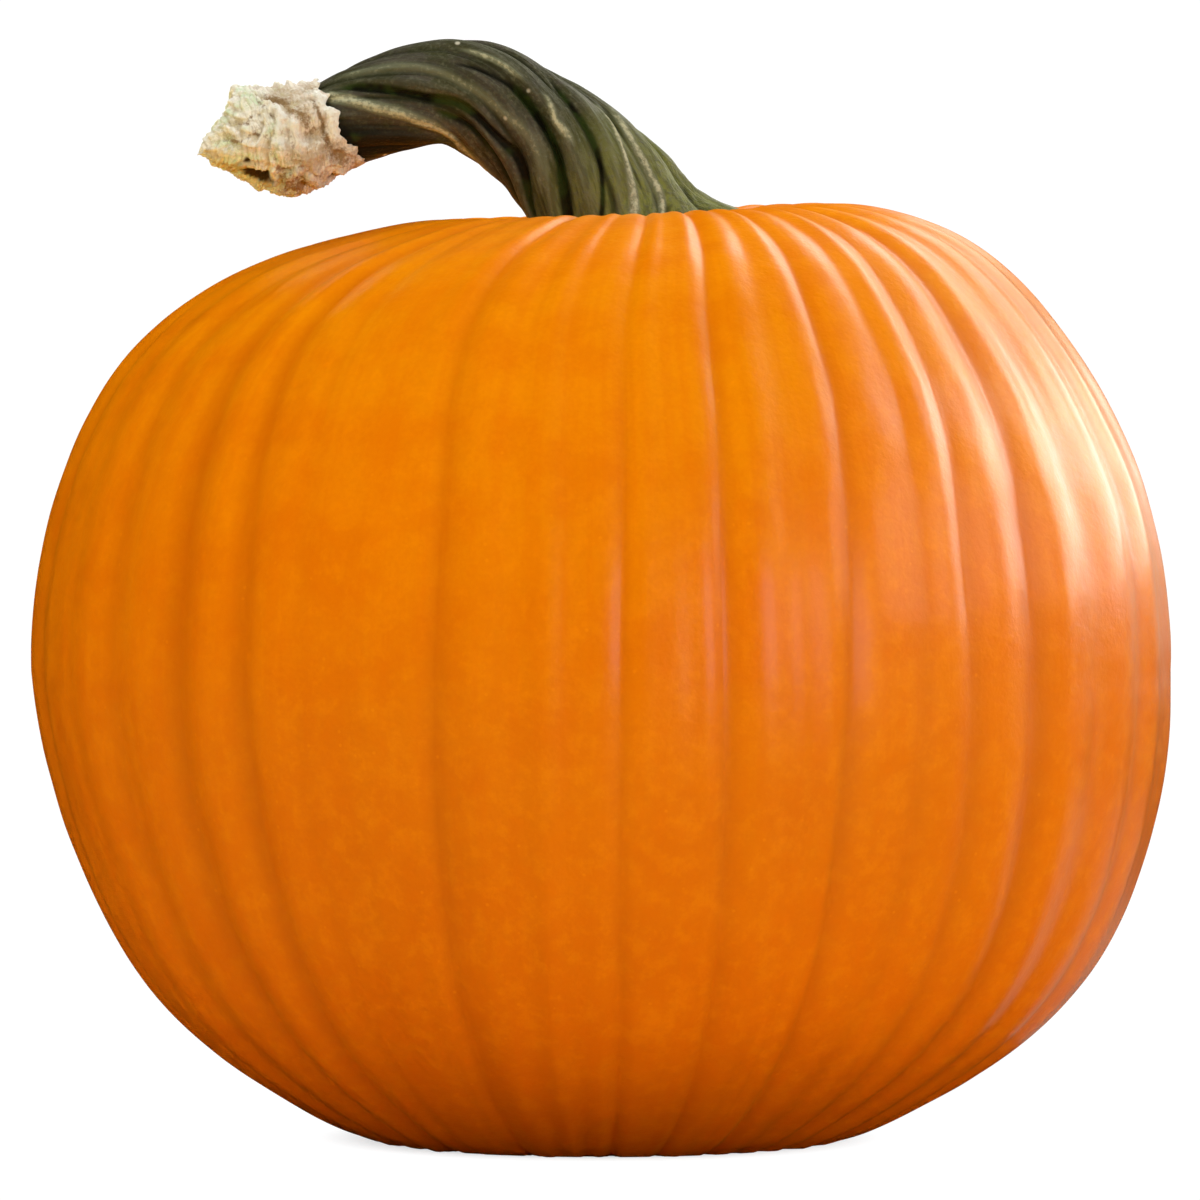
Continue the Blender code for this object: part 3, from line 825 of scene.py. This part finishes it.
def stepped(tree, value, low, high, least=0.0, most=1.0):
    """Value carried from low..high to least..most along an S curve."""
    sockets = {"Value": value, "From Min": low, "From Max": high, "To Min": least, "To Max": most}
    return add(tree, "MapRange", sockets, interpolation_type="SMOOTHSTEP").outputs[0]


def maths(tree, operation, first, second):
    """One arithmetic step between two numbers."""
    return add(tree, "Math", {0: first, 1: second}, operation=operation).outputs[0]


def attribute(tree, title, output="Fac"):
    """An attribute of the mesh, as a number or a vector."""
    return add(tree, "Attribute", attribute_name=title).outputs[output]


def layered(tree, colour, layers):
    """Colour with layers over it, the lowest first: (value, S curve of its cover, colour)."""
    for value, limits, above in layers:
        colour = mixed(tree, stepped(tree, value, *limits), colour, (*above, 1))
    return colour


def noise(tree, vector, scale, detail, roughness=0.5):
    """Noise between 0 and 1."""
    sockets = {"Vector": vector, "Scale": scale, "Detail": detail, "Roughness": roughness}
    return add(tree, "TexNoise", sockets).outputs[0]


def effect(name, *numbers):
    """A node group from a vector and numbers to a mask; returns its tree and its two ends."""
    tree = bpy.data.node_groups.new(name, "ShaderNodeTree")
    tree.interface.new_socket("Vector", in_out="INPUT", socket_type="NodeSocketVector")
    for title in numbers:
        tree.interface.new_socket(title, in_out="INPUT", socket_type="NodeSocketFloat")
    tree.interface.new_socket("Mask", in_out="OUTPUT", socket_type="NodeSocketFloat")
    return tree, tree.nodes.new("NodeGroupInput").outputs, tree.nodes.new("NodeGroupOutput").inputs


def streaks_effect():
    """Streaks along a surface: noise drawn out along the third axis of the vector."""
    tree, given, put_out = effect("streaks", "Across", "Along", "Low", "High")
    across, along = given["Across"], given["Along"]
    scale = add(tree, "CombineXYZ", {0: across, 1: across, 2: along}).outputs[0]
    sockets = {0: given["Vector"], 1: scale}
    stretched = add(tree, "VectorMath", sockets, operation="MULTIPLY").outputs[0]
    streaked = noise(tree, stretched, 1.0, 3.0, 0.55)
    tree.links.new(stepped(tree, streaked, given["Low"], given["High"]), put_out["Mask"])
    return tree


def specks_effect():
    """Small round specks: the middle of some cells of a Voronoi pattern, a random share of them."""
    tree, given, put_out = effect("specks", "Cells", "Radius", "Share")
    cells = add(tree, "TexVoronoi", {"Vector": given["Vector"], "Scale": given["Cells"]})
    near = maths(tree, "DIVIDE", cells.outputs["Distance"], given["Radius"])
    round_spot = stepped(tree, near, 1.0, 0.35)
    chosen = add(tree, "SeparateColor", {0: cells.outputs["Color"]})
    kept = maths(tree, "LESS_THAN", chosen.outputs[0], given["Share"])
    tree.links.new(maths(tree, "MULTIPLY", round_spot, kept), put_out["Mask"])
    return tree


def placed(tree, group, **values):
    """A node group placed in a material with its own values; returns its mask."""
    sockets = {title.capitalize(): value for title, value in values.items()}
    return add(tree, "Group", sockets, node_tree=group).outputs["Mask"]


def new_material(name):
    """A material with a Principled shader; returns it, its tree and the shader."""
    made = bpy.data.materials.new(name)
    made.use_nodes = True
    return made, made.node_tree, made.node_tree.nodes["Principled BSDF"]


def bumped(tree, height, distance, strength, normal=None):
    """A normal that leans with the height, over another normal if one is given."""
    sockets = {"Height": height, "Distance": distance, "Strength": strength}
    if normal:
        sockets["Normal"] = normal
    return add(tree, "Bump", sockets).outputs[0]


STREAKS = streaks_effect()
SPECKS = specks_effect()


def skin_material():
    """Waxy orange skin: mottled, lighter and yellower above, redder below, with painted shade darkening
    the grooves.
    """
    made, tree, shader = new_material("waxy_skin")
    where = add(tree, "TexCoord").outputs["Object"]
    way = attribute(tree, "way", "Vector")
    groove = attribute(tree, "groove")
    share = attribute(tree, "share")

    broad = noise(tree, where, 16.0, 3.0)
    cloud = noise(tree, where, 55.0, 4.0, 0.6)
    mottle = noise(tree, where, 190.0, 5.0, 0.65)
    grain = noise(tree, where, 800.0, 2.0)
    lines = placed(tree, STREAKS, vector=way, across=300.0, along=14.0, low=0.35, high=0.7)

    height = stepped(tree, share, 0.3, 0.85)
    warm = mixed(tree, height, (0.705, 0.162, 0.0006, 1), (0.840, 0.270, 0.0010, 1))
    orange = layered(tree, warm, (
        (broad, (0.35, 0.65, 0.0, 0.35), (0.82, 0.200, 0.0010)),
        (cloud, (0.40, 0.62, 0.0, 0.40), (0.70, 0.142, 0.0005)),
        (mottle, (0.44, 0.68, 0.0, 0.42), (0.86, 0.258, 0.0012)),
        (grain, (0.38, 0.66, 0.14, 0.0), (0.68, 0.126, 0.0004)),
        (lines, (0.0, 1.0, 0.0, 0.20), (0.72, 0.138, 0.0004)),
        # painted shade: the grooves are darkened by their depth
        (groove, (0.15, 1.0, 0.0, 0.60), (0.56, 0.112, 0.0003)),
    ))
    dots = placed(tree, SPECKS, vector=where, cells=260.0, radius=0.16, share=0.25)
    dotted = mixed(tree, maths(tree, "MULTIPLY", dots, 0.25), orange, (0.93, 0.32, 0.008, 1))
    scar = attribute(tree, "scar")
    cork = mixed(tree, noise(tree, where, 700.0, 3.0), (0.10, 0.05, 0.02, 1), (0.42, 0.28, 0.15, 1))

    rough = stepped(tree, mottle, 0.3, 0.7, 0.34, 0.42)
    rough = maths(tree, "ADD", rough, stepped(tree, groove, 0.1, 1.0, 0.0, 0.12))
    rough = maths(tree, "ADD", rough, maths(tree, "MULTIPLY", scar, 0.4))
    wax = stepped(tree, share, 0.70, 0.86, 0.5, 0.15)
    wavy = bumped(tree, noise(tree, where, 90.0, 3.0), 0.0010, 0.3)
    pored = bumped(tree, mottle, 0.0005, 0.35, wavy)
    feed(tree, shader, {
        "Base Color": mixed(tree, scar, dotted, cork),
        "Roughness": rough,
        "Coat Weight": maths(tree, "MULTIPLY", stepped(tree, scar, 0.5, 0.0), wax),
        "Coat Roughness": 0.21,
        "Normal": bumped(tree, grain, 0.00014, 0.5, pored),
    })
    return made


def stem_material():
    """Matt dark green skin, greyer over the bend and greener at the foot, with pale corky lines,
    painted shade in the furrows, between the ridges and on the underside, and painted highlight on
    the faint grey edges.
    """
    made, tree, shader = new_material("stem_green")
    way = attribute(tree, "way", "Vector")
    where = add(tree, "TexCoord").outputs["Object"]
    crest = attribute(tree, "crest")
    share = attribute(tree, "share")
    tone = attribute(tree, "tone")
    blotch = noise(tree, where, 110.0, 3.0)
    crumb = noise(tree, where, 900.0, 3.0, 0.6)
    grain = placed(tree, STREAKS, vector=way, across=800.0, along=150.0, low=0.38, high=0.62)

    patchy = stepped(tree, blotch, 0.40, 0.60)
    top = mixed(tree, patchy, (0.064, 0.055, 0.040, 1), (0.048, 0.047, 0.021, 1))
    green = layered(tree, top, (
        (share, (0.50, 0.24), (0.165, 0.172, 0.040)),
        (crumb, (0.45, 0.72, 0.0, 0.7), (0.125, 0.125, 0.075)),
        (crest, (0.55, 1.0, 0.0, 0.40), (0.120, 0.118, 0.080)),
        # painted shade: darker down in the hollows between the ridges
        (crest, (0.55, 0.15, 0.0, 0.8), (0.016, 0.018, 0.006)),
        (grain, (0.0, 1.0, 0.0, 0.35), (0.022, 0.022, 0.009)),
    ))
    broken = maths(tree, "ADD", tone, stepped(tree, crumb, 0.35, 0.65, -0.22, 0.12))
    broken = maths(tree, "ADD", broken, stepped(tree, grain, 0.0, 1.0, 0.05, -0.12))
    # painted shade in the furrows and on the underside, where the tone is dark, mottled near-black and
    # dark olive
    painted_shade = stepped(tree, tone, -0.10, -0.75, 0.0, 0.94)
    shade_mottle = stepped(tree, blotch, 0.46, 0.60)
    shade_colour = mixed(tree, shade_mottle, (0.004, 0.0042, 0.002, 1), (0.020, 0.034, 0.006, 1))
    pale = layered(tree, mixed(tree, painted_shade, green, shade_colour), (
        (tone, (0.05, 0.55, 0.0, 0.75), (0.175, 0.180, 0.105)),
        (broken, (0.35, 1.05, 0.0, 0.95), (0.45, 0.43, 0.27)),
    ))
    dots = placed(tree, SPECKS, vector=where, cells=170.0, radius=0.15, share=0.07)
    feed(tree, shader, {
        "Base Color": mixed(tree, dots, pale, (0.46, 0.43, 0.32, 1)),
        "Roughness": stepped(tree, blotch, 0.3, 0.7, 0.46, 0.62),
        "Specular IOR Level": 0.18,
        "Normal": bumped(tree, crumb, 0.0005, 0.7, bumped(tree, grain, 0.00025, 0.5)),
    })
    return made


def torn_material():
    """Dry torn fibres: cream to the tip, tan by the skin, orange-brown below, with painted shade in the
    holes, the gaps and the feet of the torn layers, and painted highlight in part on the cream folds.
    """
    made, tree, shader = new_material("torn_fibre")
    way = attribute(tree, "way", "Vector")
    hole = attribute(tree, "hole")
    step = attribute(tree, "step")
    grain = attribute(tree, "grain")
    axes = add(tree, "SeparateXYZ", {0: way}).outputs
    blotch = noise(tree, way, 150.0, 3.0)
    patch = noise(tree, way, 260.0, 3.0, 0.6)
    strand = placed(tree, STREAKS, vector=way, across=1300.0, along=260.0, low=0.40, high=0.62)

    cream = mixed(tree, stepped(tree, blotch, 0.42, 0.58), (0.84, 0.80, 0.68, 1), (0.64, 0.74, 0.50, 1))
    beige = mixed(tree, stepped(tree, blotch, 0.44, 0.60), (0.78, 0.68, 0.56, 1), (0.60, 0.48, 0.34, 1))
    along = maths(tree, "ADD", axes[0], stepped(tree, patch, 0.3, 0.7, -0.004, 0.004))
    ground = mixed(tree, stepped(tree, along, 0.008, 0.014), beige, cream)
    over = maths(tree, "ADD", axes[1], stepped(tree, patch, 0.3, 0.7, 0.004, -0.004))
    over = maths(tree, "SUBTRACT", over, stepped(tree, axes[0], 0.018, 0.030, 0.0, 0.008))
    cool = mixed(tree, stepped(tree, along, 0.012, 0.018), (0.48, 0.44, 0.38, 1), (0.55, 0.68, 0.55, 1))
    low = mixed(tree, stepped(tree, over, -0.001, -0.008, 0.0, 0.85), ground, cool)
    fibres = layered(tree, low, (
        (patch, (0.54, 0.70, 0.0, 0.6), (0.58, 0.50, 0.24)),
        (strand, (0.0, 1.0, 0.0, 0.45), (0.86, 0.83, 0.70)),
        (step, (0.55, 1.0, 0.0, 0.35), (0.86, 0.83, 0.68)),
        # painted shade: browner at the feet of the torn layers and in the low parts of the fibre grain
        (step, (0.40, 0.0, 0.0, 0.50), (0.42, 0.30, 0.15)),
        (grain, (0.3, 0.0, 0.0, 0.35), (0.42, 0.31, 0.17)),
    ))
    speck = noise(tree, way, 900.0, 4.0, 0.65)
    tone = maths(tree, "ADD", attribute(tree, "tone"), stepped(tree, patch, 0.3, 0.7, -0.4, 0.4))
    tone = maths(tree, "ADD", tone, stepped(tree, speck, 0.3, 0.7, 0.35, -0.35))
    torn = layered(tree, fibres, (
        # cream folds: partly the fibres' own colour, partly painted highlight
        (tone, (0.15, 1.0, 0.0, 0.85), (0.88, 0.86, 0.76)),
        # brown: painted shade in the gaps and beside the folds
        (tone, (-0.20, -1.1, 0.0, 0.9), (0.25, 0.145, 0.05)),
        # painted shade in the holes
        (hole, (0.15, 0.55), (0.045, 0.024, 0.008)),
    ))
    feed(tree, shader, {
        "Base Color": torn,
        "Roughness": stepped(tree, blotch, 0.3, 0.7, 0.70, 0.88),
        "Normal": bumped(tree, speck, 0.0005, 0.7, bumped(tree, strand, 0.0003, 0.6)),
    })
    return made


# ---- stage ----


def around(middle, bearing, elevation, distance):
    """Point at a bearing from -Y towards +X, an elevation and a distance from the middle."""
    turn, rise = math.radians(bearing), math.radians(elevation)
    flat = distance * math.cos(rise)
    return middle + Vector((flat * math.sin(turn), -flat * math.cos(turn), distance * math.sin(rise)))


def aimed(name, data, place, aim):
    """An object at a place, turned so that it looks at its aim."""
    made = new_object(name, data)
    made.location = place
    made.rotation_euler = (aim - place).to_track_quat("-Z", "Y").to_euler()
    return made


def panel(name, place, aim, width, height, power, colour, shines):
    """A soft rectangular light at a place, facing its aim.

    A shining one makes only highlights. Any other gives only diffuse light, and is left out of
    the rays that leave a surface, which could carry its highlight along.
    """
    light = bpy.data.lights.new(name, "AREA")
    light.shape = "RECTANGLE"
    light.size = width
    light.size_y = height
    light.energy = power
    light.color = colour
    light.cycles.use_multiple_importance_sampling = shines
    made = aimed(name, light, place, aim)
    made.visible_camera = False
    made.visible_glossy = shines
    made.visible_diffuse = not shines


def floor_material():
    """Pale floor: it shows the contact shadow and fades to plain white round it.

    Other surfaces receive warm light from it, as from the white ground and the fruit together.
    """
    made, tree, shader = new_material("pale_floor")
    where = add(tree, "TexCoord").outputs["Object"]
    distance = add(tree, "VectorMath", {0: where}, operation="LENGTH").outputs["Value"]
    far = stepped(tree, distance, *FLOOR_FADE)
    seen = add(tree, "LightPath").outputs["Is Camera Ray"]
    colour = mixed(tree, seen, (0.86, 0.58, 0.06, 1), (0.88, 0.88, 0.88, 1))
    feed(tree, shader, {"Base Color": colour, "Roughness": 0.9, "Specular IOR Level": 0.0})
    white = add(tree, "Emission", {"Color": (*WHITE, 1), "Strength": BACKDROP})
    factor = maths(tree, "MULTIPLY", far, seen)
    blend = add(tree, "MixShader", {0: factor, 1: shader.outputs[0], 2: white.outputs[0]})
    feed(tree, tree.nodes["Material Output"], {"Surface": blend.outputs[0]})
    return made


def build_stage():
    """The floor, the white surroundings and the soft lights."""
    low, high = (Vector(corner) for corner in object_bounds())
    middle = (low + high) / 2
    mesh = bpy.data.meshes.new("floor")
    sides = ((-1, -1), (1, -1), (1, 1), (-1, 1))
    corners = [(x * FLOOR_HALF, y * FLOOR_HALF, low.z) for x, y in sides]
    mesh.from_pydata(corners, [], [(0, 1, 2, 3)])
    mesh.materials.append(floor_material())
    floor = new_object("floor", mesh)
    floor.visible_glossy = False
    floor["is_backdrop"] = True

    world = bpy.data.worlds.new("surroundings")
    world.use_nodes = True
    tree = world.node_tree
    seen = add(tree, "LightPath").outputs["Is Camera Ray"]
    strength = stepped(tree, seen, 0.0, 1.0, 0.0, BACKDROP)
    feed(tree, tree.nodes["Background"], {"Color": (*WHITE, 1), "Strength": strength})
    bpy.context.scene.world = world

    for name, bearing, elevation, distance, width, height, power in TENT:
        place = around(middle, bearing, elevation, distance)
        panel(name, place, middle, width, height, power, WHITE, False)
    for name, bearing, distance, low_edge, high_edge, width, power, colour in WINDOWS:
        place = around(middle, bearing, 0, distance)
        place.z = (low_edge + high_edge) / 2
        height = high_edge - low_edge
        aim = Vector((middle.x, middle.y, place.z))
        panel(name, place, aim, width, height, power, colour, True)
    name, bearing, distance, height, width, length, power = FLOOR_GLOW
    place = around(middle, bearing, 0, distance)
    place.z = height
    panel(name, place, place + Vector((0, 0, 1)), width, length, power, PALE, True)


def build_camera():
    """A long lens just above the pumpkin's middle, looking along +Y and slightly down."""
    lens = bpy.data.cameras.new("camera")
    place, aim = Vector(CAMERA_PLACE), Vector(CAMERA_AIM)
    lens.lens = lens.sensor_width * (aim - place).length / FRAME_WIDTH
    bpy.context.scene.camera = aimed("camera", lens, place, aim)


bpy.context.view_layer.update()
bpy.context.scene.view_settings.view_transform = "Standard"
piece("fruit_skin", fruit_mesh(), skin_material(), "fruit")
piece("stem_skin", stem_mesh(), stem_material(), "stem")
piece("torn_end", end_mesh(), torn_material(), "stem_end")
build_stage()
build_camera()
